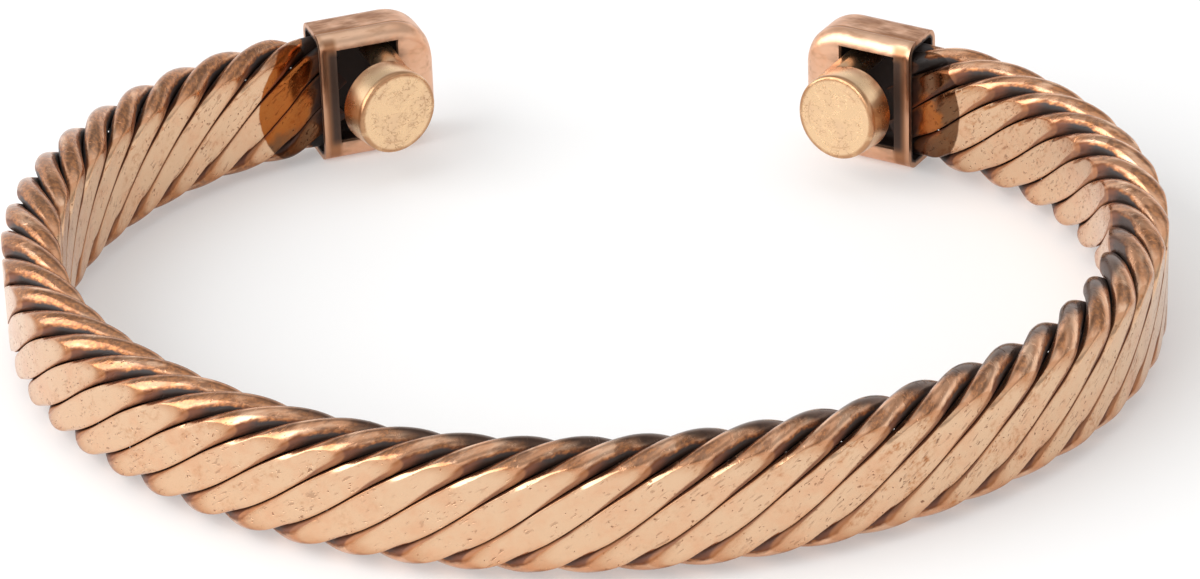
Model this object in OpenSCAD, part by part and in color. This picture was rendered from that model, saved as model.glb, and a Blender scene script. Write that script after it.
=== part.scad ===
// Open cuff bracelet: eight copper strands laid up as a hollow left-handed rope, rolled flat into a
// band and held at its two ends by copper caps, each with a stepped magnet that faces the wrist.
// It lies on its side with the gap towards +Y. Lengths are in millimetres, angles in degrees.

/* [Outline] */
// Radius of the band's centreline across the front
front_radius = 33.2; // [28:0.1:42]
// Angle that the front arc turns, each side of the middle
front_angle = 50; // [40:1:56]
// Radius of the band's centreline round each side
side_radius = 23.5; // [20:0.1:30]
// Angle that each side arc turns
side_angle = 70; // [60:1:76]
// Radius of the short arc before each cap
back_radius = 21.8; // [18:0.1:30]
// Angle that each short arc turns
back_angle = 35; // [28:1:40]

/* [Band] */
// Height of the band, from edge to edge
band_height = 7.5; // [6.5:0.1:10]
// Depth of the band between its outer and its wrist side flats
band_depth = 3.3; // [3:0.05:4]

/* [Strands] */
// Length of band in which a strand goes once round the rope
lay_length = 24.8; // [22:0.1:30]
// Place along the band where strand_1 crosses the middle of the outer face
twist_place = 1.1; // [-3:0.1:3]
// Depth of a strand before its flats are rolled, on the faces
strand_depth = 1.76; // [1.5:0.02:1.9]
// Depth of a strand where it turns over an edge of the band
edge_depth = 1.44; // [1.2:0.02:1.6]
// How deep a strand's middle lies under the flat that is rolled on it
flat_sink = 0.15; // [0.1:0.01:0.4]
// Clearance between neighbouring strands
strand_gap = 0.07; // [0.04:0.01:0.12]
// How much quicker a strand crosses over at the edges than on an even path
edge_quickness = 0.4; // [0.25:0.05:0.5]
// How much steeper a strand climbs in the middle of a face than on an even path
face_steepness = 0.03; // [0:0.01:0.06]
// How far the strands reach into a cap
strand_reach = 1.2; // [0.9:0.05:1.3]
// Length over which the band narrows before a cap's mouth
taper_length = 1.2; // [0.8:0.1:3]
// Length of narrowed band in front of the mouth
taper_lead = 0.8; // [0.6:0.05:1]

/* [End caps] */
// Length of a cap along the band
cap_length = 7.2; // [6.9:0.1:9]
// Depth of a cap, from its outer to its wrist side
cap_depth = 3.4; // [3.2:0.05:4.2]
// Height of a cap
cap_height = 8.2; // [7.8:0.1:11]
// Wall of a cap
cap_wall = 0.45; // [0.35:0.05:0.6]
// Clearance between the strands and the inside of a cap
mouth_gap = 0.1; // [0.06:0.01:0.12]
// Radius of the two far corners, seen from the wrist
corner_radius = 2.7; // [1:0.1:2.9]
// Radius of the long edges on the wrist side
brow_radius = 0.9; // [0.5:0.05:1.3]
// Radius of the long edges on the outer side
back_edge_radius = 0.85; // [0.4:0.05:1.2]
// Radius of the two upright edges at the far end
far_edge_radius = 1.2; // [0.6:0.1:1.5]
// Width of the rim that is left between the mouth and the window
window_rim = 1; // [0.6:0.05:1.2]
// Height of the rim above the window
upper_border = 0.85; // [0.6:0.05:0.95]
// Height of the rim below the window
lower_border = 1.25; // [0.8:0.05:1.6]

/* [Magnets] */
// Radius of a magnet's disc
disc_radius = 2.56; // [2.4:0.02:2.9]
// Thickness of the disc
disc_thickness = 2; // [1.6:0.05:2.3]
// How far the middle of the disc's face stands off the cap's wrist side
disc_stand = 4.3; // [3.9:0.05:5.1]
// Place of the left disc's face, from the cap's mouth
left_disc_place = 3.35; // [3:0.05:3.9]
// Place of the right disc's face, from the cap's mouth
right_disc_place = 2.6; // [2.5:0.05:3.9]
// How far the middle of the left disc's face lies above the cap's middle
left_disc_rise = 0.65; // [0.4:0.05:1]
// How far the middle of the right disc's face lies above the cap's middle
right_disc_rise = 0.85; // [0.4:0.05:1]
// How far the left disc is turned towards the gap
left_disc_lean = 13; // [0:1:16]
// How far the right disc is turned towards the gap
right_disc_lean = 4; // [0:1:16]
// How far the left disc is tipped up
left_disc_tip = 0; // [0:1:10]
// How far the right disc is tipped up
right_disc_tip = 5; // [0:1:10]
// Bevel round the disc's face
face_bevel = 0.25; // [0.1:0.05:0.5]
// Bevel round the disc's back
back_bevel = 0.12; // [0.05:0.01:0.3]
// Radius of a magnet's neck
neck_radius = 0.84; // [0.76:0.02:1.06]
// Place of the left neck, from the cap's mouth
left_neck_place = 3.95; // [3.4:0.05:4.3]
// Place of the right neck, from the cap's mouth
right_neck_place = 3.75; // [3.4:0.05:4.3]
// How far the neck's middle lies above the cap's
neck_rise = 2.05; // [1.4:0.05:2.15]
// Clearance between the neck and the cap
neck_gap = 0.05; // [0.03:0.01:0.1]

/* [Hidden] */
$fn = 48;
// Room that a cut reaches past the faces that it goes through
cut = 1;
// Least radius of an edge inside a cap
least_radius = 0.1;

// Where the three arcs of the centreline start and end, and the place and heading of a cap's mouth
front_length = front_radius * front_angle * PI / 180;
side_length = side_radius * side_angle * PI / 180;
back_length = back_radius * back_angle * PI / 180;
half_length = front_length + side_length + back_length;
front_end = arc_place(front_length, front_radius, 0, [0, 0]);
side_end = arc_place(side_length, side_radius, front_angle, front_end);
mouth = arc_place(back_length, back_radius, front_angle + side_angle, side_end);
mouth_heading = mouth[2];

// The whole part is centred front to back, and the caps stand on the floor
back_limit = mouth[1] + (cap_length - far_edge_radius) * sin(mouth_heading)
             - (cap_depth / 2 - far_edge_radius) * cos(mouth_heading) + far_edge_radius;
middle_y = (back_limit - band_depth / 2) / 2;
middle_z = cap_height / 2;

// Strands: their number, the distance between them along the band, and their path round the section
strand_count = 8;
strand_sides = 10;
rings_per_turn = 16;
strand_pitch = lay_length / strand_count;
path_depth = band_depth / 2 - flat_sink;
path_rise = band_height / 2 - edge_depth / 2;

// Strand widths, as shares of the room between neighbours that the steepness of the path leaves on the
// faces and at the edges. The width changes between the two with a power of the cosine of the turn.
face_slope = path_rise * (1 + 2 * face_steepness) * 2 * PI / lay_length;
edge_slope = path_depth * (1 + edge_quickness) * 2 * PI / lay_length;
face_share = 0.98;
edge_share = 0.9;
narrowing = 8;
face_width = face_share * strand_pitch * sin(atan(face_slope)) - strand_gap;
edge_width = edge_share * strand_pitch * sin(atan(edge_slope)) - strand_gap;

// Rings along a strand, at the same places for all of them, with one at each mouth and each end
ring_step = lay_length / rings_per_turn;
rope_end = half_length + strand_reach;
ring_room = 0.3 * ring_step;
first_ring = ceil((ring_room - half_length - twist_place) / ring_step);
last_ring = floor((half_length - ring_room - twist_place) / ring_step);
even_places = [for (i = [first_ring : last_ring]) twist_place + i * ring_step];
ring_places = concat([-rope_end, -half_length], even_places, [half_length, rope_end]);

// How much the band narrows inside a cap
mouth_depth = cap_depth - 2 * cap_wall - 2 * mouth_gap;
mouth_height = cap_height - 2 * cap_wall - 2 * mouth_gap;
depth_share = min(1, mouth_depth / band_depth);
height_share = min(1, mouth_height / band_height);

// Share of a disc's thickness that its neck is sunk into it
neck_sink = 0.35;

// Place and heading on an arc of the centreline, a length along from its start
function arc_place(along, radius, heading, start) =
    let (turned = heading + along / radius * 180 / PI)
    [start[0] + radius * (sin(turned) - sin(heading)),
     start[1] + radius * (cos(heading) - cos(turned)),
     turned];

// Place and heading on the right half of the centreline, straight on past the mouth
function right_place(along) =
    along <= front_length ? arc_place(along, front_radius, 0, [0, 0])
    : along <= front_length + side_length
      ? arc_place(along - front_length, side_radius, front_angle, front_end)
    : along <= half_length
      ? arc_place(along - front_length - side_length, back_radius, front_angle + side_angle, side_end)
    : [mouth[0] + (along - half_length) * cos(mouth_heading),
       mouth[1] + (along - half_length) * sin(mouth_heading),
       mouth_heading];

function centre_place(along) =
    let (p = right_place(abs(along)))
    along < 0 ? [-p[0], p[1], -p[2]] : p;

// How far the taper towards a mouth has gone at a place along the band, from 0 to 1
function taper(along) =
    let (x = min(1, max(0, (abs(along) - half_length + taper_lead) / taper_length + 1)))
    x * x * (3 - 2 * x);

// A point of the straight band (along, outward, up), narrowed to the mouths and bent round the wrist
function bent(p) =
    let (t = taper(p[0]))
    let (outward = p[1] * (1 - t * (1 - depth_share)))
    let (up = p[2] * (1 - t * (1 - height_share)))
    let (c = centre_place(p[0]))
    [c[0] + outward * sin(c[2]), c[1] - outward * cos(c[2]) - middle_y, up + middle_z];

// A strand's middle in the straight band, by the angle that it has gone round the rope
function path_out(turn) = path_depth * cos(turn) * (1 + edge_quickness * pow(sin(turn), 2));
function path_up(turn) = path_rise * sin(turn + face_steepness * sin(2 * turn) * 180 / PI);

function unit(v) = v / norm(v);

// One ring of a strand: an oval across its path, with whatever lies past a flat pressed back to it
function strand_ring(along, number) =
    let (turn = (along - twist_place) / lay_length * 360 + (number - 1) * 360 / strand_count)
    let (small = 0.01)
    let (step = small / lay_length * 360)
    let (out_rate = (path_out(turn + step) - path_out(turn - step)) / (2 * small))
    let (up_rate = (path_up(turn + step) - path_up(turn - step)) / (2 * small))
    let (forward = unit([1, out_rate, up_rate]))
    let (outward = unit([0, up_rate, -out_rate]))
    let (sideways = cross(forward, outward))
    let (on_face = pow(cos(turn), narrowing))
    let (half_width = (edge_width + (face_width - edge_width) * on_face) / 2)
    let (half_depth = (edge_depth + (strand_depth - edge_depth) * on_face) / 2)
    [for (i = [0 : strand_sides - 1])
        let (angle = (i + 0.5) * 360 / strand_sides)
        let (p = [along, path_out(turn), path_up(turn)] + outward * half_depth * cos(angle)
                 + sideways * half_width * sin(angle))
        bent([p[0], min(band_depth / 2, max(-band_depth / 2, p[1])), p[2]])];

// One strand of the rope, swept through its rings
module strand(number) {
    points = [for (along = ring_places) each strand_ring(along, number)];
    last_start = (len(ring_places) - 1) * strand_sides;
    near_end = [for (i = [1 : strand_sides - 2]) [0, i + 1, i]];
    far_end = [for (i = [1 : strand_sides - 2]) [last_start, last_start + i, last_start + i + 1]];
    walls = [for (r = [0 : len(ring_places) - 2], i = [0 : strand_sides - 1])
        let (next = (i + 1) % strand_sides)
        let (a = r * strand_sides + i)
        let (b = r * strand_sides + next)
        each [[a, b, a + strand_sides], [b, b + strand_sides, a + strand_sides]]];
    color("peru") polyhedron(points = points, faces = concat(near_end, far_end, walls), convexity = 12);
}

// Stands what it holds in the right mouth: +X goes on along the band, +Y faces the wrist
module at_mouth() {
    translate([mouth[0], mouth[1] - middle_y, middle_z]) rotate(mouth_heading) children();
}

// A rectangle with a radius of its own at each corner, from the low left one round to the top left one
module cornered(size, radii) {
    difference() {
        square(size);
        for (i = [0 : 3]) if (radii[i] > 0) {
            at_right = i == 1 || i == 2;
            at_top = i >= 2;
            translate([at_right ? size[0] : 0, at_top ? size[1] : 0])
                mirror([at_right ? 1 : 0, 0]) mirror([0, at_top ? 1 : 0])
                    corner_waste(radii[i]);
        }
    }
}

// What a rounded corner loses, with the corner at the origin
module corner_waste(radius) {
    difference() {
        translate([-cut, -cut]) square(radius + cut);
        translate([radius, radius]) circle(radius);
    }
}

// The form of a cap from its outlines seen from the side, from the end and from above, drawn in by an
// inset all round but at the mouth, where it starts a length before it
module cap_form(inset, before) {
    depth = cap_depth - 2 * inset;
    height = cap_height - 2 * inset;
    length = cap_length - inset + before;
    far_radius = corner_radius - inset;
    wrist_radius = max(brow_radius - inset, least_radius);
    outer_radius = max(back_edge_radius - inset, least_radius);
    upright_radius = max(far_edge_radius - inset, least_radius);
    translate([-before, 0, 0]) intersection() {
        translate([0, depth / 2, -height / 2]) rotate([90, 0, 0]) linear_extrude(depth)
            cornered([length, height], [0, far_radius, far_radius, 0]);
        rotate([90, 0, 90]) translate([-depth / 2, -height / 2]) linear_extrude(length)
            cornered([depth, height], [outer_radius, wrist_radius, wrist_radius, outer_radius]);
        translate([0, -depth / 2, -height / 2]) linear_extrude(height)
            cornered([length, depth], [0, upright_radius, upright_radius, 0]);
    }
}

// A copper end cap: hollow, open at the mouth and cut through to the wrist by a window that ends just
// past the neck
module cap(neck_place) {
    window_height = cap_height - upper_border - lower_border;
    window_end = neck_place + neck_radius + neck_gap;
    color("darksalmon") difference() {
        cap_form(0, 0);
        cap_form(cap_wall, cut);
        translate([window_rim, 0, lower_border - cap_height / 2])
            cube([window_end - window_rim, cap_depth / 2 + cut, window_height]);
    }
}

// A stepped magnet: its neck stands off the cap's outer wall and is sunk into its disc, which faces
// the wrist, set lower than the neck, turned a little towards the gap and tipped up
module magnet(neck_place, disc_place, disc_rise, lean, tip) {
    neck_seat = cap_wall + neck_gap - cap_depth / 2;
    face = cap_depth / 2 + disc_stand;
    color("burlywood") union() {
        translate([neck_place, neck_seat, neck_rise]) rotate([-90, 0, 0])
            cylinder(r = neck_radius, h = face - (1 - neck_sink) * disc_thickness - neck_seat);
        translate([disc_place, face, disc_rise]) rotate(-lean) rotate([tip - 90, 0, 0]) disc();
    }
}

// A magnet's disc, with the middle of its face at the origin
module disc() {
    rotate_extrude()
        polygon([[0, -disc_thickness],
                 [disc_radius - back_bevel, -disc_thickness],
                 [disc_radius, back_bevel - disc_thickness],
                 [disc_radius, -face_bevel],
                 [disc_radius - face_bevel, 0],
                 [0, 0]]);
}

module cap_right() {
    at_mouth() cap(right_neck_place);
}

module cap_left() {
    mirror([1, 0, 0]) at_mouth() cap(left_neck_place);
}

module magnet_right() {
    at_mouth()
        magnet(right_neck_place, right_disc_place, right_disc_rise, right_disc_lean, right_disc_tip);
}

module magnet_left() {
    mirror([1, 0, 0]) at_mouth()
        magnet(left_neck_place, left_disc_place, left_disc_rise, left_disc_lean, left_disc_tip);
}

strand(1);  // strand_1
strand(2);  // strand_2
strand(3);  // strand_3
strand(4);  // strand_4
strand(5);  // strand_5
strand(6);  // strand_6
strand(7);  // strand_7
strand(8);  // strand_8
cap_left();
cap_right();
magnet_left();
magnet_right();
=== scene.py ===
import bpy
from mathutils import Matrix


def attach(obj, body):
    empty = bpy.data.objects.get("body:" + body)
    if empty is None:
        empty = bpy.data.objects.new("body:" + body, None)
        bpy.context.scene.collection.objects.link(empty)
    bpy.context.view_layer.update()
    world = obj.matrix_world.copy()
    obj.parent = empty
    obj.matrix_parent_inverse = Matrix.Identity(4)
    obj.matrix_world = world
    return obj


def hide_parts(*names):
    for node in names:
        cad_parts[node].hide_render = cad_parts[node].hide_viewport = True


bl_info = {
    "name": "Twisted copper cuff",
    "version": (1, 0, 0),
    "blender": (4, 5, 0),
    "location": "View3D > Sidebar > Cuff",
    "description": "Finishes the strands, end caps and magnets of an open copper cuff bracelet",
    "category": "Object",
}

import math

import bmesh
import bpy
import numpy as np
from bpy.props import FloatProperty, FloatVectorProperty, IntProperty, PointerProperty
from mathutils import Matrix, Vector

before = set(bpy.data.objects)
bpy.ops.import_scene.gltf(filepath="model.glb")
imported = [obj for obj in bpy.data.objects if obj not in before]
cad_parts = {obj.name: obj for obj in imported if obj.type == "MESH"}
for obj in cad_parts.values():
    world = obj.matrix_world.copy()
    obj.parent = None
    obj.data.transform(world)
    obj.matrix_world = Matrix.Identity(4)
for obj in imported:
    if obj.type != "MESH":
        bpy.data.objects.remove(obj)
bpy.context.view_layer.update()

MM = 0.001
STRAND_COUNT = 8
SIDES = {"left": -1.0, "right": 1.0}
PIN = 0.02 * MM  # radius at the middle of a turned form

# The stain beside each cap is a disc on the wrist side: how far its middle is from the mouth and above the
# band's middle, and its radius, in mm.
LEFT_STAIN = (0.1, 0.0, 4.3)
RIGHT_STAIN = (-1.06, 0.35, 4.8)

# Each step of the surroundings: the heights of view it lies between, and what it adds below and above it.
SKY_STEPS = ((0.36, 0.62, 1.1, 0.5), (0.75, 0.92, 0.0, 0.42))


# Sizes and colours that a user would change

def length(name, description, millimetres, soft_max=0.2):
    """A length property, given in millimetres and kept in metres."""
    return FloatProperty(name=name, description=description, default=millimetres * MM, min=0.0,
                         soft_max=soft_max, precision=5, unit="LENGTH", subtype="DISTANCE")


def turn(name, description, degrees):
    """An angle property, given in degrees and kept in radians."""
    return FloatProperty(name=name, description=description, default=math.radians(degrees),
                         subtype="ANGLE")


def share(name, description, value, top=1.0):
    """A plain factor."""
    return FloatProperty(name=name, description=description, default=value, min=0.0, soft_max=top,
                         subtype="FACTOR")


def colour(name, description, red, green, blue):
    """A linear colour."""
    return FloatVectorProperty(name=name, description=description, default=(red, green, blue), size=3,
                               min=0.0, max=1.0, subtype="COLOR")


class CuffBand(bpy.types.PropertyGroup):
    """The outline of the cuff and the rope that is rolled into its band."""

    front_radius: length("Front radius", "Centreline radius across the front", 33.2)
    front_angle: turn("Front angle", "Angle of the front arc, each side of the middle", 50.0)
    side_radius: length("Side radius", "Centreline radius round each side", 23.5)
    side_angle: turn("Side angle", "Angle of each side arc", 70.0)
    back_radius: length("Back radius", "Centreline radius before each cap", 21.8)
    back_angle: turn("Back angle", "Angle of each arc before a cap", 35.0)
    height: length("Band height", "From edge to edge", 7.5)
    depth: length("Band depth", "Between the two rolled faces", 3.3)
    lay: length("Lay length", "Band length of one turn of a strand", 24.8)
    twist_place: FloatProperty(name="Twist place", default=1.1 * MM, unit="LENGTH", subtype="DISTANCE",
                               description="Where strand 1 crosses the middle of the outer face")
    reach: length("Strand reach", "How far the strands run into a cap", 1.2)
    taper_length: length("Taper length", "Narrowing before a mouth", 2.4)
    taper_lead: length("Taper lead", "Narrowed band in front of a mouth", 0.1)
    mouth_depth: length("Mouth depth", "Depth of the rope inside a cap", 2.3)
    mouth_height: length("Mouth height", "Height of the rope inside a cap", 7.1)


class CuffStrand(bpy.types.PropertyGroup):
    """The section and the path of one strand."""

    gap: length("Strand gap", "Between neighbouring strands at their middles", 0.07)
    face_depth: length("Depth on the faces", "Before the flats are rolled", 1.76)
    edge_depth: length("Depth at the edges", "Where it turns over an edge", 1.44)
    flat_sink: length("Flat sink", "Depth of a strand's middle under its flat", 0.15)
    crease: length("Crease rounding", "Half height of the rounding round a flat", 0.055)
    shoulder: length("Shoulder", "What the rounding gains on the side of the nearer edge", 0.06)
    ridge: share("Ridge", "Where the bevel beside a flat's tips starts, as a share of half a width", 0.66)
    bevel_drop: length("Bevel drop", "How far that bevel falls", 0.3)
    fall_off: length("Fall-off", "What the rounding gains on the side of the far edge", 0.14)
    tip_rounding: length("Tip rounding", "What the rounding gains round a flat's tips", 0.05)
    quickness: share("Edge quickness", "How much quicker it crosses over at the edges", 0.4)
    steepness: share("Face steepness", "How much steeper it climbs on the faces", 0.03)
    narrowing: FloatProperty(name="Narrowing", default=8.0, min=1.0,
                             description="Power by which the width falls off towards the edges")
    rings: IntProperty(name="Rings", description="Rings along a strand", default=700, min=50)
    sides: IntProperty(name="Sides", description="Points round a strand", default=48, min=12)


class CuffCap(bpy.types.PropertyGroup):
    """The end caps."""

    length: length("Cap length", "Along the band", 7.2)
    depth: length("Cap depth", "From its outer to its wrist side", 3.4)
    height: length("Cap height", "From its lower to its upper edge", 8.2)
    wall: length("Wall", "Sheet thickness", 0.45)
    corner_radius: length("Corner radius", "The two far corners, seen from the wrist", 2.7)
    brow_radius: length("Brow radius", "Long edges on the wrist side", 0.9)
    outer_radius: length("Outer edge radius", "Long edges on the outer side", 0.85)
    far_radius: length("Far edge radius", "Upright edges at the far end", 1.2)
    window_rim: length("Window rim", "Rim between the mouth and the window", 1.0)
    upper_border: length("Upper border", "Rim above the window", 0.85)
    lower_border: length("Lower border", "Rim below the window", 1.25)
    softness: length("Edge softness", "Rounding of the cut edges", 0.09)


class CuffMagnet(bpy.types.PropertyGroup):
    """The stepped magnets."""

    disc_radius: length("Disc radius", "Widest radius", 2.56)
    disc_thickness: length("Disc thickness", "With its bevels", 2.0)
    stand: length("Stand", "Middle of the face, off the cap's wrist side", 4.3)
    left_place: length("Left disc place", "Left disc's face, from the cap's mouth", 3.35)
    right_place: length("Right disc place", "Right disc's face, from the cap's mouth", 2.6)
    left_rise: length("Left disc rise", "Middle of the left face, above the cap's middle", 0.65)
    right_rise: length("Right disc rise", "Middle of the right face, above the cap's middle", 0.85)
    left_lean: turn("Left disc lean", "How far the left disc turns to the gap", 13.0)
    right_lean: turn("Right disc lean", "How far the right disc turns to the gap", 4.0)
    left_tip: turn("Left disc tip", "How far the left disc is tipped up", 0.0)
    right_tip: turn("Right disc tip", "How far the right disc is tipped up", 5.0)
    face_bevel: length("Face bevel", "Rounding round the face", 0.25)
    back_bevel: length("Back bevel", "Rounding round the disc's back", 0.12)
    neck_radius: length("Neck radius", "The narrower neck", 0.84)
    neck_sink: share("Neck sink", "Share of the disc's thickness that the neck is sunk into it", 0.35)
    left_neck: length("Left neck place", "Left neck's middle, from the cap's mouth", 3.95)
    right_neck: length("Right neck place", "Right neck's middle, from the cap's mouth", 3.75)
    neck_rise: length("Neck rise", "Neck's middle, above the cap's", 2.05)
    seat_gap: length("Seat gap", "Between the neck and the cap's outer wall", 0.05)
    sides: IntProperty(name="Sides", description="Points round a magnet", default=160, min=24)


class CuffFinish(bpy.types.PropertyGroup):
    """The colours of the metals, linear, with painted highlight and shade colours among them."""

    flat_copper: colour("Flat copper", "Polished flats", 0.74, 0.497, 0.32)
    round_copper: colour("Round copper", "Round parts of the strands", 0.72, 0.375, 0.215)
    pale_copper: colour("Pale copper", "Brighter clouds on the round parts", 0.85, 0.54, 0.36)
    brown_tarnish: colour("Brown tarnish", "Edges of the dark patina", 0.22, 0.095, 0.05)
    orange_tarnish: colour("Orange tarnish", "Clouds beside the flats' tips", 0.48, 0.20, 0.08)
    seam_brown: colour("Seam brown", "Narrow seams between the flats", 0.15, 0.052, 0.026)
    # Patina with painted shade, where a strand turns over the top edge to the wrist side.
    past_crown: colour("Past the crown", "Where a strand turns over to the wrist side", 0.075, 0.05, 0.042)
    patina: colour("Patina", "Dark patina in the grooves", 0.042, 0.035, 0.034)
    stain: colour("Stain", "Orange stain, over the copper", 0.52, 0.25, 0.09)
    stain_edge: colour("Stain edge", "Grey-brown part of the stain, over the copper", 0.24, 0.18, 0.14)
    cap_copper: colour("Cap copper", "Satin sheet of the caps", 0.78, 0.465, 0.305)
    # Painted highlight along the brow above the windows.
    brow_highlight_copper: colour("Brow copper", "Rubbed edge above the windows", 0.90, 0.62, 0.43)
    # Tarnish, and painted shade in the dish beside each window and in the crease under the top face.
    cap_brown: colour("Cap brown", "Tarnished parts of the caps", 0.38, 0.175, 0.085)
    # Painted shade: near black inside the caps and in the deepest grooves of the strands.
    painted_deep_shade: colour("Inner dark", "Inside the caps", 0.028, 0.016, 0.012)
    plating: colour("Plating", "Pale gold coloured plating of the magnets", 0.84, 0.575, 0.34)
    # Worn brown of the rims and scratches, and a painted reflection and shade of the dark cap on the discs'
    # sides and the necks further back.
    wear_and_shade_brown: colour("Rim brown", "Worn rim and back of the discs", 0.42, 0.20, 0.095)


class CuffStage(bpy.types.PropertyGroup):
    """Camera, light and floor."""

    azimuth: turn("Azimuth", "Camera, round from the front", 6.135)
    elevation: turn("Elevation", "Camera, above the floor", 28.42)
    roll: turn("Roll", "Camera, about its own axis", -2.018)
    distance: length("Distance", "Camera, from its target", 306.9, 1.0)
    target: FloatVectorProperty(name="Target", description="Where the camera looks", size=3,
                                default=(0.824 * MM, 1.7442 * MM, 2.245 * MM), unit="LENGTH",
                                subtype="TRANSLATION")
    lens: FloatProperty(name="Lens", description="Focal length in millimetres", default=163.73)
    light_azimuth: turn("Light azimuth", "Soft box, round from the front", -58.0)
    light_elevation: turn("Light elevation", "Soft box, above the floor", 29.0)
    light_distance: length("Light distance", "Soft box, from the cuff", 600.0, 2.0)
    light_width: length("Light width", "Soft box", 850.0, 2.0)
    light_height: length("Light height", "Soft box", 620.0, 2.0)
    light_strength: share("Light strength", "Brightness of the soft box's face", 2.8, 10.0)
    floor_span: length("Floor span", "Side of the floor", 3000.0, 10.0)
    floor_white: share("Floor white", "How light the floor's own colour is", 0.72)
    floor_glow: share("Floor glow", "Light that the floor gives off", 0.24)


GROUPS = {"band": CuffBand, "strand": CuffStrand, "cap": CuffCap, "magnet": CuffMagnet,
          "finish": CuffFinish, "stage": CuffStage}


class CuffSettings(bpy.types.PropertyGroup):
    """All settings of the cuff."""

    band: PointerProperty(type=CuffBand, name="Band", description="Outline and rope")
    strand: PointerProperty(type=CuffStrand, name="Strand", description="One strand of the rope")
    cap: PointerProperty(type=CuffCap, name="Cap", description="End caps")
    magnet: PointerProperty(type=CuffMagnet, name="Magnet", description="Stepped magnets")
    finish: PointerProperty(type=CuffFinish, name="Finish", description="Colours of the metals")
    stage: PointerProperty(type=CuffStage, name="Stage", description="Camera, light and floor")


# The band's middle line

class Centreline:
    """Three arcs each side of the front, and straight on inside the caps, in the part's frame."""

    def __init__(self, band, cap):
        self.arcs = ((band.front_radius, band.front_angle), (band.side_radius, band.side_angle),
                     (band.back_radius, band.back_angle))
        self.half_length = sum(radius * angle for radius, angle in self.arcs)
        self.middle_y = 0.0
        self.middle_z = cap.height / 2
        mouth_y, heading = self.place(np.array([self.half_length]))[1:]
        back = (mouth_y[0] + (cap.length - cap.far_radius) * math.sin(heading[0])
                - (cap.depth / 2 - cap.far_radius) * math.cos(heading[0]) + cap.far_radius)
        self.middle_y = (back - band.depth / 2) / 2

    def place(self, along):
        """Places x and y and headings at lengths along from the front middle."""
        far = np.abs(along)
        x = np.zeros_like(far)
        y = np.zeros_like(far)
        heading = np.zeros_like(far)
        start, at, turned = 0.0, (0.0, 0.0), 0.0
        for radius, angle in self.arcs:
            here = turned + np.clip(far - start, 0.0, radius * angle) / radius
            reached = far >= start
            x = np.where(reached, at[0] + radius * (np.sin(here) - math.sin(turned)), x)
            y = np.where(reached, at[1] + radius * (math.cos(turned) - np.cos(here)), y)
            heading = np.where(reached, here, heading)
            end = turned + angle
            at = (at[0] + radius * (math.sin(end) - math.sin(turned)),
                  at[1] + radius * (math.cos(turned) - math.cos(end)))
            start += radius * angle
            turned = end
        past = np.maximum(far - start, 0.0)
        x = x + past * math.cos(turned)
        y = y + past * math.sin(turned)
        side = np.where(along < 0, -1.0, 1.0)
        return x * side, y - self.middle_y, heading * side

    def bend(self, points):
        """Takes points (along, outward, up) of the straight band to the bent one."""
        x, y, heading = self.place(points[:, 0])
        return np.stack([x + points[:, 1] * np.sin(heading), y - points[:, 1] * np.cos(heading),
                         points[:, 2] + self.middle_z], axis=1)

    def mouth_matrix(self, side):
        """Stands a form in a mouth: +X goes on along the band, +Y faces the wrist."""
        x, y, heading = (value[0] for value in self.place(np.array([self.half_length])))
        right = Matrix.Translation((x, y, self.middle_z)) @ Matrix.Rotation(heading, 4, "Z")
        return Matrix.Diagonal((side, 1.0, 1.0, 1.0)) @ right


# Mesh helpers

def new_object(name, mesh, material=None):
    """Links a mesh as an object at the origin."""
    piece = bpy.data.objects.new(name, mesh)
    bpy.context.scene.collection.objects.link(piece)
    if material is not None:
        mesh.materials.append(material)
    return piece


def smooth(mesh, sharp_angle):
    """Shades smooth, with edges sharper than an angle kept crisp."""
    mesh.shade_smooth()
    mesh.set_sharp_from_angle(angle=math.radians(sharp_angle))


def own(piece, node):
    """Rides a finished piece on the root body in place of its CAD node."""
    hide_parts(node)
    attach(piece, "root")


def rise(value, start, end):
    """0 up to a start, 1 from an end, and even in between."""
    return np.clip((value - start) / (end - start), 0.0, 1.0)


def unit(vectors):
    """Rows of vectors at length one."""
    return vectors / np.linalg.norm(vectors, axis=-1, keepdims=True)


# Strands

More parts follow.
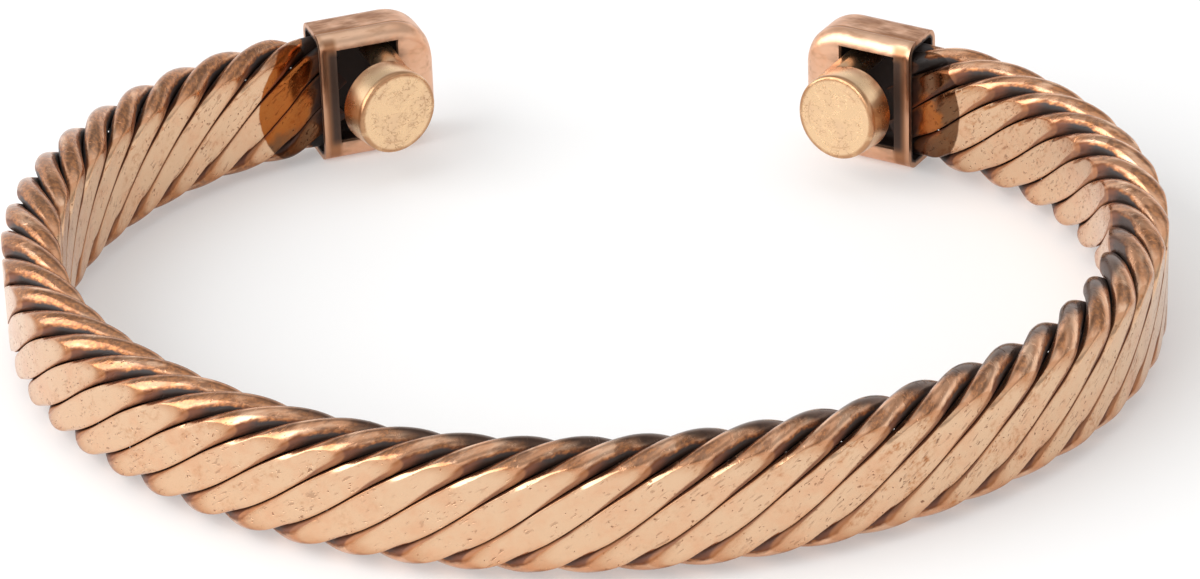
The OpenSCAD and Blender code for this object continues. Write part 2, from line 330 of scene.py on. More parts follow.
class StrandForm:
    """Points of a strand in the straight band: a swept oval before its flats are pressed."""

    turn_steps = 181
    search_steps = 1600

    def __init__(self, band, strand, line):
        self.band = band
        self.strand = strand
        self.line = line
        self.path_depth = band.depth / 2 - strand.flat_sink
        self.path_rise = band.height / 2 - strand.edge_depth / 2
        self.turns = np.linspace(0.0, math.pi, self.turn_steps)
        self.room = self.measure_room()

    def path(self, turned):
        """The strand's middle, outward and up, by the angle gone round the rope."""
        outward = self.path_depth * np.cos(turned) * (1 + self.strand.quickness * np.sin(turned) ** 2)
        up = self.path_rise * np.sin(turned + self.strand.steepness * np.sin(2 * turned))
        return outward, up

    def measure_room(self):
        """Distance from a strand's middle to its next neighbour's, over half a turn."""
        per_metre = 2 * math.pi / self.band.lay
        ahead = np.linspace(-0.75, 1.25, self.search_steps) * math.pi
        here, there = self.turns[:, None], self.turns[:, None] + ahead[None, :]
        next_out, next_up = self.path(there + 2 * math.pi / STRAND_COUNT)
        out, up = self.path(here)
        along = (there - here) / per_metre
        return np.sqrt(along ** 2 + (next_out - out) ** 2 + (next_up - up) ** 2).min(axis=1)

    def room_beside(self, turned, side):
        """Room towards the next neighbour (side 1) or the one before (side -1)."""
        return np.interp(np.mod(side * turned, math.pi), self.turns, self.room)

    def rings(self, number):
        """Points (ring, side, 3), and for each its length along the strand, angle and number."""
        band, strand = self.band, self.strand
        end = self.line.half_length + band.reach
        along = np.linspace(-end, end, strand.rings)
        per_metre = 2 * math.pi / band.lay
        turned = (along - band.twist_place) * per_metre + (number - 1) * 2 * math.pi / STRAND_COUNT
        outward, up = self.path(turned)
        nudge = 1e-4
        ahead, behind = self.path(turned + nudge), self.path(turned - nudge)
        rates = [(a - b) / (2 * nudge) * per_metre for a, b in zip(ahead, behind)]
        forward = unit(np.stack([np.ones_like(along), rates[0], rates[1]], axis=1))
        away = unit(np.stack([np.zeros_like(along), rates[1], -rates[0]], axis=1))
        sideways = np.cross(forward, away)
        on_face = np.cos(turned) ** strand.narrowing
        towards_next, towards_last = ((self.room_beside(turned, side) - strand.gap)[:, None] / 2
                                      for side in (1.0, -1.0))
        half_depth = (strand.edge_depth + (strand.face_depth - strand.edge_depth) * on_face) / 2
        middle = np.stack([along, outward, up], axis=1)
        angle = np.linspace(-math.pi, math.pi, strand.sides, endpoint=False)
        half_width = np.where(np.sin(angle)[None, :] > 0, towards_next, towards_last)
        points = (middle[:, None, :]
                  + away[:, None, :] * (half_depth[:, None] * np.cos(angle))[:, :, None]
                  + sideways[:, None, :] * (half_width * np.sin(angle))[:, :, None])
        run = np.concatenate([[0.0], np.cumsum(np.linalg.norm(np.diff(middle, axis=0), axis=1))])
        facts = np.stack(np.broadcast_arrays(run[:, None], angle[None, :], float(number)), axis=2)
        return points, facts

    def mesh(self, number):
        """The strand's raw tube, with what the finish needs to know kept in an attribute."""
        points, facts = self.rings(number)
        ring_count, side_count = points.shape[:2]
        index = np.arange(ring_count * side_count).reshape(ring_count, side_count)
        beside = np.roll(index, -1, axis=1)
        quads = np.stack([index[:-1], index[1:], beside[1:], beside[:-1]], axis=2).reshape(-1, 4)
        ends = [index[0].tolist(), index[-1][::-1].tolist()]
        mesh = bpy.data.meshes.new("copper_strand_%d" % number)
        mesh.from_pydata(points.reshape(-1, 3), [], quads.tolist() + ends)
        store(mesh, "wire", facts)
        return mesh


def cut_at_faces(mesh, levels):
    """Puts an edge loop where the surface crosses each level outward of the band's middle."""
    work = bmesh.new()
    work.from_mesh(mesh)
    for level in levels:
        for side in (1.0, -1.0):
            everything = work.verts[:] + work.edges[:] + work.faces[:]
            bmesh.ops.bisect_plane(work, geom=everything, dist=1e-7, plane_co=(0.0, side * level, 0.0),
                                   plane_no=(0.0, side, 0.0))
    bmesh.ops.triangulate(work, faces=[face for face in work.faces if len(face.verts) > 4])
    work.to_mesh(mesh)
    work.free()


def press(outward, face, crease):
    """Presses what lies past a face back to it, over a rounded crease."""
    size = np.abs(outward)
    start = face - crease
    step = np.clip((size - start) / (2 * crease), 0.0, 1.0)
    pressed = np.where(size <= start, size, start + crease * (1 - (1 - step) ** 2))
    return np.sign(outward) * pressed, step


def taper(line, band, along):
    """How far the narrowing towards a mouth has gone, from 0 to 1."""
    x = np.clip((np.abs(along) - line.half_length + band.taper_lead) / band.taper_length + 1, 0.0, 1.0)
    return x * x * (3 - 2 * x)


def finish_strand(mesh, band, strand, line):
    """Presses the flats, narrows the ends, bends the strand, and stores where each point lies."""
    count = len(mesh.vertices)
    flat = np.empty(count * 3, dtype=np.float32)
    mesh.vertices.foreach_get("co", flat)
    points = flat.reshape(-1, 3).astype(float)
    facts = np.empty(count * 3, dtype=np.float32)
    mesh.attributes["wire"].data.foreach_get("vector", facts)
    angle, number = facts.reshape(-1, 3)[:, 1:].T
    turned = (points[:, 0] - band.twist_place) * 2 * math.pi / band.lay
    turned += (number - 1) * 2 * math.pi / STRAND_COUNT
    off_middle = np.mod(turned + math.pi / 2, math.pi) - math.pi / 2
    nearer = np.sin(angle) * np.sign(off_middle)
    far_off = np.abs(off_middle)
    gain = np.where(nearer > 0, strand.shoulder, strand.fall_off)
    crease = strand.crease + gain * np.abs(nearer) * rise(far_off, 0.1, 0.8)
    crease += strand.tip_rounding * rise(far_off, 0.45, 0.95)
    past_ridge = nearer - strand.ridge
    ridge_rounding = 0.05
    past_ridge = (past_ridge + np.hypot(past_ridge, ridge_rounding)) / 2 / (1 - strand.ridge)
    drop = strand.bevel_drop * past_ridge * rise(far_off, 0.15, 0.6)
    pressed_by = np.abs(points[:, 1]) - band.depth / 2 + drop
    points[:, 1], flatness = press(points[:, 1], band.depth / 2 - drop, crease)
    narrowed = taper(line, band, points[:, 0])
    points[:, 1] *= 1 - narrowed * (1 - band.mouth_depth / band.depth)
    points[:, 2] *= 1 - narrowed * (1 - band.mouth_height / band.height)
    place = points / MM
    store(mesh, "band", place)
    store(mesh, "flat", flatness)
    store(mesh, "proud", np.cos(angle))
    store(mesh, "lie", np.stack([nearer, far_off, pressed_by / MM], axis=1))
    store(mesh, "face", along_the_strand(place, number))
    store(mesh, "aged", ageing(place, line.half_length / MM))
    mesh.vertices.foreach_set("co", line.bend(points).reshape(-1).astype(np.float32))
    mesh.update()


def along_the_strand(place, number, climb=math.radians(39.0)):
    """Places on the faces in mm: along the strands, across them, and apart for each flat."""
    side = np.sign(place[:, 1])
    up = place[:, 2] * side
    return np.stack([place[:, 0] * math.cos(climb) + up * math.sin(climb),
                     up * math.cos(climb) - place[:, 0] * math.sin(climb),
                     number * 5.0 + side * 30.0], axis=1)


def ageing(place, half_length):
    """How far inside a stain a point lies in mm, how orange it is there, and how worn the metal is."""
    along, outward, up = place.T
    from_mouth = half_length - np.abs(along)
    left = along < 0
    centre, level, radius = (np.where(left, *pair) for pair in zip(LEFT_STAIN, RIGHT_STAIN))
    inside = radius - np.hypot(from_mouth - centre, up - level)
    inside = np.minimum(inside, (-outward - 0.5) * 2)
    warm_left = rise(up + 0.35 * from_mouth, -1.6, 0.2) * rise(from_mouth, 0.0, 1.2)
    warm_right = np.exp(-((from_mouth - 1.0) ** 2 + (up + 0.3) ** 2) / 2.2)
    worn = 0.1 + 0.9 * rise(along, 2.0, 18.0) + 0.5 * rise(-along, 6.0, 16.0)
    return np.stack([inside, np.where(left, warm_left, warm_right), worn], axis=1)


def store(mesh, name, values):
    """Keeps a number or a vector for each point under a name."""
    single = values.ndim == 1
    data = mesh.attributes.new(name, "FLOAT" if single else "FLOAT_VECTOR", "POINT").data
    data.foreach_set("value" if single else "vector", values.reshape(-1).astype(np.float32))


# Caps and magnets

def rounded_outline(width, height, radii, steps=14):
    """A rectangle's corners with a radius each, from the low left one round to the top left one."""
    corners = ((0, 0, 180), (1, 0, 270), (1, 1, 0), (0, 1, 90))
    outline = []
    for (right, top, start), radius in zip(corners, radii):
        centre_x = width - radius if right else radius
        centre_y = height - radius if top else radius
        if radius <= 0:
            outline.append((width * right, height * top))
            continue
        for i in range(steps + 1):
            angle = math.radians(start + 90 * i / steps)
            outline.append((centre_x + radius * math.cos(angle), centre_y + radius * math.sin(angle)))
    return outline


def closed_mesh(name, points, faces):
    """A mesh from points and faces, with its normals turned outward."""
    mesh = bpy.data.meshes.new(name)
    mesh.from_pydata(points, [], faces)
    work = bmesh.new()
    work.from_mesh(mesh)
    bmesh.ops.recalc_face_normals(work, faces=work.faces)
    work.to_mesh(mesh)
    work.free()
    return mesh


def apply_modifiers(piece):
    """Makes what the modifiers show the object's own mesh."""
    shown = piece.evaluated_get(bpy.context.evaluated_depsgraph_get())
    mesh = bpy.data.meshes.new_from_object(shown)
    piece.modifiers.clear()
    piece.data = mesh


def combine(base, tool, operation):
    """Applies one exact boolean and removes the tool."""
    step = base.modifiers.new(operation, "BOOLEAN")
    step.operation = operation
    step.solver = "EXACT"
    step.object = tool
    apply_modifiers(base)
    bpy.data.objects.remove(tool)
    return base


def mesh_alone(piece):
    """Removes an object and returns its mesh."""
    mesh = piece.data
    bpy.data.objects.remove(piece)
    return mesh


def between_rings(rings, count):
    """Faces that join each of some rings of points to the next."""
    faces = []
    for start in range(0, (rings - 1) * count, count):
        for i in range(count):
            j = (i + 1) % count
            faces.append([start + i, start + j, start + count + j, start + count + i])
    return faces


def cap_form(cap, inset, before, steps=18):
    """The cap's form, drawn in by an inset: sections that shrink round its far corners and edges."""
    half_depth, half_height = cap.depth / 2 - inset, cap.height / 2 - inset
    reach = cap.length - inset
    far, upright = cap.corner_radius - inset, cap.far_radius - inset
    least = 0.1 * MM
    radii = [max(cap.outer_radius - inset, least), max(cap.brow_radius - inset, least)]
    arc = [reach - far * (1 - math.sin(math.pi / 2 * i / steps)) for i in range(steps + 1)]
    points = []
    for x in [-before] + arc:
        y_loss, z_loss = (radius - math.sqrt(radius ** 2 - max(x - reach + radius, 0.0) ** 2)
                          for radius in (upright, far))
        y_half, z_half = half_depth - y_loss, half_height - z_loss
        outer, wrist = (min(radius, 0.98 * y_half) for radius in radii)
        outline = rounded_outline(2 * y_half, 2 * z_half, (outer, wrist, wrist, outer))
        points += [(x, y - y_half, z - z_half) for y, z in outline]
    count = len(outline)
    faces = between_rings(len(arc) + 1, count)
    faces += [list(range(count)), [len(arc) * count + i for i in range(count)]]
    return new_object("cap_form", closed_mesh("cap_form", points, faces))


def block(name, low, high):
    """A plain box between two corners."""
    points = [(x, y, z) for x in (low[0], high[0]) for y in (low[1], high[1]) for z in (low[2], high[2])]
    faces = [(0, 1, 3, 2), (4, 6, 7, 5), (0, 4, 5, 1), (2, 3, 7, 6), (0, 2, 6, 4), (1, 5, 7, 3)]
    return new_object(name, closed_mesh(name, points, faces))


def build_cap(cap, window_end):
    """A hollow cap, open at the mouth, with its window and its softened edges, at the origin."""
    past_the_mouth = 1.0 * MM
    shell = combine(cap_form(cap, 0.0, 0.0), cap_form(cap, cap.wall, past_the_mouth), "DIFFERENCE")
    window = block("window", (cap.window_rim, 0.0, cap.lower_border - cap.height / 2),
                   (window_end, cap.depth, cap.height / 2 - cap.upper_border))
    shell = combine(shell, window, "DIFFERENCE")
    soften = shell.modifiers.new("soften", "BEVEL")
    soften.width = cap.softness
    soften.segments = 3
    soften.limit_method = "ANGLE"
    soften.angle_limit = math.radians(50)
    soften.use_clamp_overlap = True
    apply_modifiers(shell)
    clear_slivers(shell.data)
    mesh = mesh_alone(shell)
    points = np.array([vertex.co for vertex in mesh.vertices]) / MM
    store(mesh, "cap", points)
    store(mesh, "inside", depth_inside(cap, points))
    return mesh


def clear_slivers(mesh, least=0.01 * MM):
    """Cuts large faces into triangles and merges edges that are shorter than the least."""
    work = bmesh.new()
    work.from_mesh(mesh)
    bmesh.ops.triangulate(work, faces=[face for face in work.faces if len(face.verts) > 4])
    bmesh.ops.dissolve_degenerate(work, dist=least, edges=work.edges)
    work.to_mesh(mesh)
    work.free()


def depth_inside(cap, points):
    """How deep points of the shell lie under the cap's outer form, as a share of the wall."""
    across = np.abs(points)
    half = (cap.length / MM, cap.depth / 2 / MM, cap.height / 2 / MM)
    depth = np.full(len(points), 9.0)
    for pair, radius in (((0, 2), cap.corner_radius), ((0, 1), cap.far_radius), ((1, 2), cap.brow_radius)):
        radius = radius / MM
        beyond = np.stack([across[:, i] - half[i] + radius for i in pair], axis=1)
        away = np.linalg.norm(np.maximum(beyond, 0.0), axis=1) + np.minimum(beyond.max(axis=1), 0.0) - radius
        depth = np.minimum(depth, -away)
    return np.clip(depth / (cap.wall / MM), 0.0, 1.0)


def lathe(name, profile, sides):
    """Turns a profile of (radius, level) about +Y."""
    points = []
    for radius, level in profile:
        for i in range(sides):
            angle = 2 * math.pi * i / sides
            points.append((radius * math.cos(angle), level, radius * math.sin(angle)))
    faces = between_rings(len(profile), sides)
    faces += [list(range(sides))[::-1], [(len(profile) - 1) * sides + i for i in range(sides)]]
    return closed_mesh(name, points, faces)


def rounded_corner(corner, before, after, size, steps=4):
    """Points of a profile's corner, rounded from a size before it to a size after it."""
    corner, before, after = Vector(corner), Vector(before), Vector(after)
    start = corner + (before - corner).normalized() * size
    end = corner + (after - corner).normalized() * size
    points = []
    for i in range(steps + 1):
        t = i / steps
        points.append(tuple(start * (1 - t) ** 2 + corner * 2 * t * (1 - t) + end * t ** 2))
    return points


def disc_profile(magnet):
    """The disc's profile from the middle of its back to the middle of its face, which is level 0."""
    disc, back = magnet.disc_radius, -magnet.disc_thickness
    profile = [(PIN, back), (magnet.neck_radius, back)]
    profile += rounded_corner((disc, back), (0.0, back), (disc, 0.0), magnet.back_bevel)
    profile += rounded_corner((disc, 0.0), (disc, back), (0.0, 0.0), magnet.face_bevel, 7)
    return profile + [(disc * part, 0.0) for part in (0.75, 0.45, 0.2)] + [(PIN, 0.0)]


def build_magnet(cap, magnet, side, name):
    """A neck off the cap's outer wall and a disc that is set lower and turned to the gap, as one mesh."""
    seat = -cap.depth / 2 + cap.wall + magnet.seat_gap
    face = cap.depth / 2 + magnet.stand
    neck = magnet.neck_radius
    profile = [(PIN, seat)] + rounded_corner((neck, seat), (0.0, seat), (neck, face), 0.08 * MM)
    sunk = face - (1 - magnet.neck_sink) * magnet.disc_thickness
    profile += [(neck, sunk), (PIN, sunk)]
    stem = lathe("stem", profile, magnet.sides)
    stem.transform(Matrix.Translation((getattr(magnet, side + "_neck"), 0.0, magnet.neck_rise)))
    disc = lathe("disc", disc_profile(magnet), magnet.sides)
    place, rise, lean, tip = (getattr(magnet, side + key) for key in ("_place", "_rise", "_lean", "_tip"))
    stand = (Matrix.Translation((place, face, rise)) @ Matrix.Rotation(-lean, 4, "Z")
             @ Matrix.Rotation(tip, 4, "X"))
    disc.transform(stand)
    mesh = mesh_alone(combine(new_object(name, stem), new_object("disc", disc), "UNION"))
    back = stand.inverted()
    store(mesh, "disc", np.array([back @ vertex.co for vertex in mesh.vertices]) / MM)
    return mesh


# Materials

def add_node(tree, kind, inputs, output=0, **settings):
    """Adds a node, feeds its inputs, and returns one of its outputs as a value."""
    made = tree.nodes.new(kind)
    for key, value in settings.items():
        setattr(made, key, value)
    for key, value in inputs.items():
        feed(tree, made.inputs[key], value)
    return Value(tree, made.outputs[output])


def feed(tree, socket, value):
    """Links a value to a socket, or sets a plain number or colour there."""
    if isinstance(value, Value):
        tree.links.new(value.socket, socket)
    else:
        socket.default_value = value


class Value:
    """One output in a node tree. What is done with it adds nodes."""

    def __init__(self, tree, socket):
        self.tree = tree
        self.socket = socket

    def node(self, kind, inputs, output=0, **settings):
        """A further node in the same tree."""
        return add_node(self.tree, kind, inputs, output, **settings)

    def maths(self, operation, *others):
        """One step of arithmetic."""
        return self.node("ShaderNodeMath", dict(enumerate((self, *others))), operation=operation)

    def __add__(self, other):
        return self.maths("ADD", other)

    def __sub__(self, other):
        return self.maths("SUBTRACT", other)

    def __rsub__(self, number):
        return self.maths("MULTIPLY_ADD", -1.0, number)

    def __mul__(self, other):
        return self.maths("MULTIPLY", other)

    def __abs__(self):
        return self.maths("ABSOLUTE")

    def larger(self, other):
        """The larger of two values."""
        return self.maths("MAXIMUM", other)

    def stirred(self, noise, amount):
        """The value moved up and down by a noise."""
        return self + (noise - 0.5) * amount

    def ramp(self, low, high, start=0.0, end=1.0):
        """From a start where the value is low to an end where it is high. High may lie below low."""
        inputs = {"Value": self, "From Min": low, "From Max": high, "To Min": start, "To Max": end}
        return self.node("ShaderNodeMapRange", inputs, interpolation_type="SMOOTHSTEP")

    def within(self, before, start, end, after):
        """1 from start to end, fading to 0 at before and at after."""
        return self.ramp(before, start) * self.ramp(after, end)

    def parts(self):
        """The three parts of a vector."""
        return [self.node("ShaderNodeSeparateXYZ", {"Vector": self}, axis) for axis in "XYZ"]

    def stretch(self, scale):
        """A vector times a scale for each axis."""
        return self.node("ShaderNodeVectorMath", {0: self, 1: scale}, operation="MULTIPLY")

    def noise(self, scale, detail=3.0, rough=0.55):
        """Fractal noise from 0 to 1 at a place."""
        inputs = {"Vector": self, "Scale": scale, "Detail": detail, "Roughness": rough}
        return self.node("ShaderNodeTexNoise", inputs, "Fac")

    def specks(self, scale, rim, middle):
        """Scattered round specks: 0 at a rim's distance from their middles and 1 nearer in."""
        away = self.node("ShaderNodeTexVoronoi", {"Vector": self, "Scale": scale}, "Distance")
        return away.ramp(rim, middle)

    def blend(self, first, second):
        """Mixes two colours. The value is the second one's share."""
        first, second = (item if isinstance(item, Value) else (*item, 1.0) for item in (first, second))
        return self.node("ShaderNodeMix", {0: self, 6: first, 7: second}, 2, data_type="RGBA")

    def tinted(self, tint):
        """A colour times another."""
        return self.node("ShaderNodeMix", {0: 1.0, 6: self, 7: tint}, 2, data_type="RGBA",
                         blend_type="MULTIPLY")

    def bump(self, depth, strength, *below):
        """Relief with the value as its height and a depth in metres, on the relief below it if any."""
        inputs = {"Height": self, "Distance": depth, "Strength": strength}
        return self.node("ShaderNodeBump", {**inputs, **{"Normal": normal for normal in below}})


class Shader:
    """A material to be built from values."""

    def __init__(self, name):
        self.material = bpy.data.materials.new(name)
        self.material.use_nodes = True
        self.tree = self.material.node_tree

    def kept(self, name, output="Vector"):
        """What the mesh keeps under a name."""
        return add_node(self.tree, "ShaderNodeAttribute", {}, output, attribute_name=name)

    def surfaced(self, inputs):
        """Feeds the surface and returns the material."""
        for name, value in inputs.items():
            feed(self.tree, self.tree.nodes["Principled BSDF"].inputs[name], value)
        return self.material


class StrandShader(Shader):
    """Antiqued copper: worn flats, round flanks, dark patina in the grooves, and the stains, with painted
    shade on the strands' far flanks, past the top crown, in the deepest grooves and at the mouths.

    Along, outward and up are in mm in the straight band. Off_middle runs from 0 at a flat's middle to half
    pi at the band's edge, and nearer from -1 to 1 across a strand, 1 being the side of the nearer edge.
    """

    def __init__(self, finish, line):
        super().__init__("antiqued_copper")
        self.finish = finish
        self.along, self.outward, self.up = self.kept("band").parts()
        self.nearer, self.off_middle, self.pressed_by = self.kept("lie").parts()
        self.stained, self.orange, self.worn_area = self.kept("aged").parts()
        self.face = self.kept("face")
        self.flat = self.kept("flat", "Fac")
        self.proud = self.kept("proud", "Fac")
        self.grain = self.kept("wire").stretch((1 / MM, 0.9, 7.3))
        self.cloud = self.grain.noise(0.8, 4.0, 0.6)
        self.crumbs = self.grain.noise(4.0, 3.0, 0.6)
        self.mottle = self.grain.stretch((0.6, 1.1, 1.0)).noise(0.9)
        self.mottled = self.mottle.ramp(0.35, 0.6)
        self.on_left = self.along.ramp(-8.0, -26.0)
        from_mouth = line.half_length / MM - abs(self.along)
        # Darker at and inside the mouths: less rubbing there, and painted shade where the strands run in
        # under the caps' lips.
        self.at_mouth = (from_mouth - self.cloud * 1.6).ramp(0.25, -0.55)
        self.leaning = self.measure_leaning()
        self.past_top = self.measure_past_top()
        self.exposure = self.measure_exposure()
        self.bare = self.exposure.ramp(0.16, 0.38)
        self.polished = self.exposure.ramp(0.34, 0.62)
        self.on_flat = self.measure_flat()
        self.marks = self.draw_marks()

    def measure_leaning(self):
        """How strongly the patina leans to a strand's far side, beside the tips of its flat: patina and
        painted shade of the shadowed groove there.
        """
        on_upper = 1.0 - self.up.ramp(0.5, -1.5) * 0.5
        return self.off_middle.within(0.15, 0.85, 1.15, 1.57) * (1.0 - self.on_left * 0.55) * on_upper

    def measure_past_top(self):
        """Where a strand has turned over the front's upper edge to the wrist side."""
        turned_over = self.up.ramp(2.2, 3.3) * self.outward.ramp(0.7, -0.9)
        return turned_over * self.along.within(-26.0, 0.0, 38.0, 50.0)

    def measure_exposure(self):
        """How much a point was rubbed: least in grooves and at the mouths, most where it stands proud. It is
        also lowered as painted shade on a strand's far flank beside its flat's tips, past the top crown, and
        where the strands run under the caps.
        """
        less_worn = self.along.ramp(30.0, 50.0) * self.outward.ramp(0.0, -1.0)
        # Painted shade with patina: the leaning term darkens a strand's far flank beside its flat's tips,
        # and past_top on the next line darkens the turn over the top.
        value = self.proud + self.nearer * self.leaning * 0.42 - self.off_middle.ramp(0.9, 1.5) * 0.16
        value = value - less_worn * 0.16 - self.past_top * 0.2 + self.up.ramp(0.0, -2.0) * 0.14
        return value.stirred(self.cloud, 0.55).stirred(self.crumbs, 0.1) - self.at_mouth * 0.8

    def measure_flat(self):
        """Where a flat's polish shows: not on its far side, where patina and painted shade take over, and
        less where its tip rolls over the edge.
        """
        far_side = (self.proud + self.nearer * self.leaning * 0.62).stirred(self.cloud, 0.3)
        polish = self.flat.ramp(0.4, 0.95) * (1.0 - self.at_mouth) * far_side.ramp(-0.05, 0.2)
        rolled_over = self.off_middle.ramp(0.75, 1.1) * self.up.ramp(0.0, 0.5)
        rolled_over = rolled_over * self.nearer.ramp(-0.3, 0.15) * self.mottled
        return polish * (1.0 - rolled_over * 0.8)

    def draw_marks(self):
        """Pits and short scratches, in drifts."""
        face = self.face
        shake = {"X": face.noise(2.0, 1.0) * 0.5, "Y": face.noise(2.3, 1.0) * 0.5}
        shaken = {0: face.stretch((0.8, 1.2, 1.0)), 1: face.node("ShaderNodeCombineXYZ", shake)}
        strewn = face.node("ShaderNodeVectorMath", shaken, operation="ADD")
        pits = strewn.specks(1.6, 0.15, 0.07).larger(strewn.specks(3.6, 0.22, 0.1))
        scratches = face.stretch((0.9, 3.6, 1.0)).noise(1.9, 0.0).ramp(0.66, 0.74)
        drifts = (face.noise(0.8, 3.0, 0.6) + self.worn_area * 0.06).ramp(0.46, 0.62)
        return pits.larger(scratches * 0.5) * drifts

    def patina(self, seam):
        """Dark patina: grey-black in the grooves, red-brown in the narrow seams between the flats, and near
        black as painted shade where the grooves lie deepest.
        """
        dark = seam.blend(self.finish.patina, self.finish.seam_brown)
        # Painted shade: towards near black where the grooves lie deepest.
        deepest = self.exposure.ramp(0.14, -0.2) * (1.0 - seam * 0.6)
        return deepest.blend(dark, self.finish.painted_deep_shade)

    def tarnish(self):
        """Where brown tarnish lies on the round parts, most of it beside the flats' tips and on the left."""
        clouds = self.grain.stretch((0.5, 1.0, 1.0)).noise(1.0, 4.0, 0.58) + self.on_left * 0.12
        clouds = clouds + self.off_middle.within(0.8, 1.02, 1.1, 1.3) * 0.16
        lying = clouds.ramp(0.42, 0.62) * self.off_middle.ramp(0.7, 1.0)
        upper_left = self.nearer.ramp(-0.45, 0.1).larger(self.on_left)
        return lying * (upper_left * 0.75 + 0.25) * self.nearer.ramp(0.98, 0.85)

    def round_parts(self):
        """The colour of all that the rolling left round."""
        finish = self.finish
        seam = abs(self.outward).ramp(0.85, 1.35)
        brown = self.crumbs.ramp(0.4, 0.65).blend(finish.brown_tarnish, finish.orange_tarnish)
        fringe = (seam * 0.8).blend(brown, finish.seam_brown)
        copper = self.mottle.ramp(0.4, 0.66).blend(finish.round_copper, finish.pale_copper)
        copper = (self.tarnish() * 0.8).blend(copper, brown)
        shown = self.polished.blend(self.bare.blend(self.patina(seam), fringe), copper)
        # Painted shade with patina: darker past the top crown, where a strand turns over to the wrist side.
        shaded = (self.past_top * 1.25).stirred(self.mottle, 0.9).ramp(0.1, 1.0)
        return (shaded * 0.9).blend(shown, finish.past_crown)

    def flats(self):
        """The colour of the flats: warm clouds, worn patches, pits and scratches on polished copper."""
        finish = self.finish
        warm = self.face.noise(0.55, 4.0, 0.62).ramp(0.42, 0.72)
        copper = (warm * 0.5).blend(finish.flat_copper, finish.round_copper)
        worn = self.face.stretch((0.7, 1.2, 1.0)).noise(0.75, 4.0, 0.66).ramp(0.5, 0.68)
        worn = worn * self.worn_area * self.crumbs.ramp(0.35, 0.7)
        copper = worn.blend(copper, finish.orange_tarnish)
        return (self.marks * 0.8).blend(copper, finish.brown_tarnish)

    def rim(self):
        """A brown rim just inside each flat's outline."""
        return self.flat.ramp(0.02, 0.2) * self.pressed_by.ramp(0.42, 0.04) * (self.mottled * 0.6 + 0.4)

    def stains(self):
        """What the stains beside the caps leave of the copper's colour."""
        in_stain = self.stained.stirred(self.cloud, 0.3).ramp(-0.05, 0.06)
        warmth = self.orange.stirred(self.mottle, 1.2).ramp(0.25, 0.7)
        return in_stain.blend((1.0, 1.0, 1.0), warmth.blend(self.finish.stain_edge, self.finish.stain))

    def build(self):
        """Feeds the surface and returns the material."""
        shown = self.on_flat.blend(self.round_parts(), self.flats())
        shown = (self.rim() * 0.55).blend(shown, self.finish.orange_tarnish)
        smoother = self.polished.larger(self.on_flat)
        fine = self.face.stretch((0.6, 5.0, 1.0)).noise(2.6, 3.0, 0.6)
        waves = self.grain.stretch((0.6, 0.9, 1.0)).noise(0.8, 2.0, 0.5)
        relief = self.marks.bump(-0.02 * MM, 0.8, fine.bump(0.004 * MM, 0.6))
        return self.surfaced({"Base Color": shown.tinted(self.stains()),
                              "Metallic": self.bare.larger(self.on_flat),
                              "Specular IOR Level": 0.28,
                              "Roughness": 0.4 - smoother * 0.24 + self.crumbs * 0.1 + self.marks * 0.25,
                              "Normal": waves.bump(0.06 * MM, 0.7, relief)})


def cap_material(finish):
    """Satin copper sheet, brown on top and at the mouth, with a painted highlight along the brow, painted
    shade in the dish and in the crease under the top face, near black painted shade inside and beside the
    window, and darker along the window's upper edge.
    """
    shader = Shader("satin_copper")
    place = shader.kept("cap")
    past_mouth, wristward, upward = place.parts()
    cloud = place.noise(0.7, 5.0, 0.62)
    fine = place.noise(3.2, 4.0, 0.6)
    streaks = place.stretch((0.5, 1.7, 1.0)).noise(1.1)

    # The dished strip between mouth and window is browned as painted shade.
    dish = past_mouth.within(0.1, 0.4, 0.8, 1.25) * wristward.ramp(1.2, 1.6)
    on_top = upward.ramp(3.75, 4.05) * wristward.ramp(1.1, 0.6)
    # A painted shade line in the crease between the top face and the brow.
    seam = wristward.within(0.66, 0.76, 0.8, 0.92) * upward.ramp(3.6, 3.9)
    # Painted highlight: the brow above the window is lightened towards a paler copper.
    brow_sheen = wristward.ramp(0.85, 1.1) * upward.ramp(3.3, 3.55) * past_mouth.ramp(6.0, 3.0)
    shown = (cloud.ramp(0.42, 0.66) * 0.6).blend(finish.cap_copper, finish.round_copper)
    shown = (brow_sheen * 0.45).blend(shown, finish.brow_highlight_copper)
    brown = past_mouth.ramp(0.4, 0.1) * 0.45 + dish * 0.95
    for more in (on_top * streaks.ramp(0.3, 0.62), seam * 0.8, streaks.ramp(0.54, 0.72) * 0.45):
        brown = brown.larger(more)
    shown = brown.blend(shown, finish.cap_brown)

    # Painted shade: the dished strip between the mouth and the window goes towards near black; along the
    # window's upper edge the sheet is darker too.
    beside = past_mouth.within(0.15, 0.68, 1.0, 1.2) * upward.within(-3.4, -2.5, 2.8, 3.6)
    above = upward.ramp(3.75, 3.25) * streaks.ramp(0.3, 0.6) * past_mouth.within(0.9, 1.4, 4.7, 5.6)
    dark_by_window = (beside * 0.92).larger(above * 0.6) * wristward.ramp(0.9, 1.4) * upward.ramp(-3.4, -2.8)
    dark = shader.kept("inside", "Fac").stirred(fine, 0.5).ramp(0.45, 0.85).larger(dark_by_window)
    relief = fine.bump(0.01 * MM, 0.5, place.noise(0.55, 2.0).bump(0.25 * MM, 0.5))
    return shader.surfaced({"Base Color": dark.blend(shown, finish.painted_deep_shade),
                            "Metallic": 1.0 - dark * 0.8,
                            "Roughness": cloud * 0.14 + 0.28 + dark * 0.3,
                            "Normal": (dish * 1.6 + seam).bump(-0.05 * MM, 0.7, relief)})


